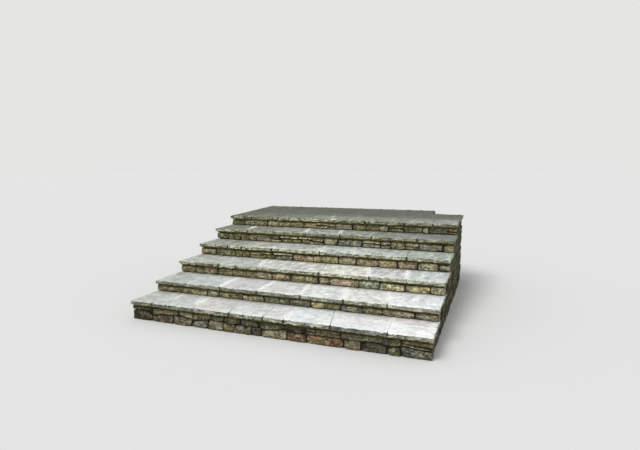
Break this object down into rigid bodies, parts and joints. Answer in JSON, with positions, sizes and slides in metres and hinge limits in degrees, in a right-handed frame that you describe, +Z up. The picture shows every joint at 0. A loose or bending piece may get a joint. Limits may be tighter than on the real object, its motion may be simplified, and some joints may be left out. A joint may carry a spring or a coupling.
{
  "type": "outdoor stone steps",
  "caption": "Broad outdoor stone steps with ledgestone risers, flagstone treads and a flagstone landing that steps in at the back to fill a doorway recess.",
  "frame": {"origin": "centre of the footprint at the lowest ground", "axes": "+X along the treads to the right as one walks up, +Y in towards the house, +Z up"},
  "size_m": [3.3, 3.477, 0.96],
  "materials": {
    "flagstone": "matte",
    "ledgestone": "matte",
    "wallstone": "matte",
    "mortar": "matte",
    "concrete": "matte"
  },
  "bodies": {
    "root": {"core": "concrete", "riser_1": "ledgestone", "riser_2": "ledgestone", "riser_3": "ledgestone", "riser_4": "ledgestone", "riser_5": "ledgestone", "riser_6": "ledgestone", "bed_1": "mortar", "bed_2": "mortar", "bed_3": "mortar", "bed_4": "mortar", "bed_5": "mortar", "landing_bed": "mortar", "tread_1": "flagstone", "tread_2": "flagstone", "tread_3": "flagstone", "tread_4": "flagstone", "tread_5": "flagstone", "landing_nosing": "flagstone", "landing_paving": "flagstone", "right_wall": "wallstone", "left_wall": "wallstone", "wing_wall": "wallstone", "recess_wall": "wallstone", "back_wall": "wallstone"}
  },
  "joints": []
}
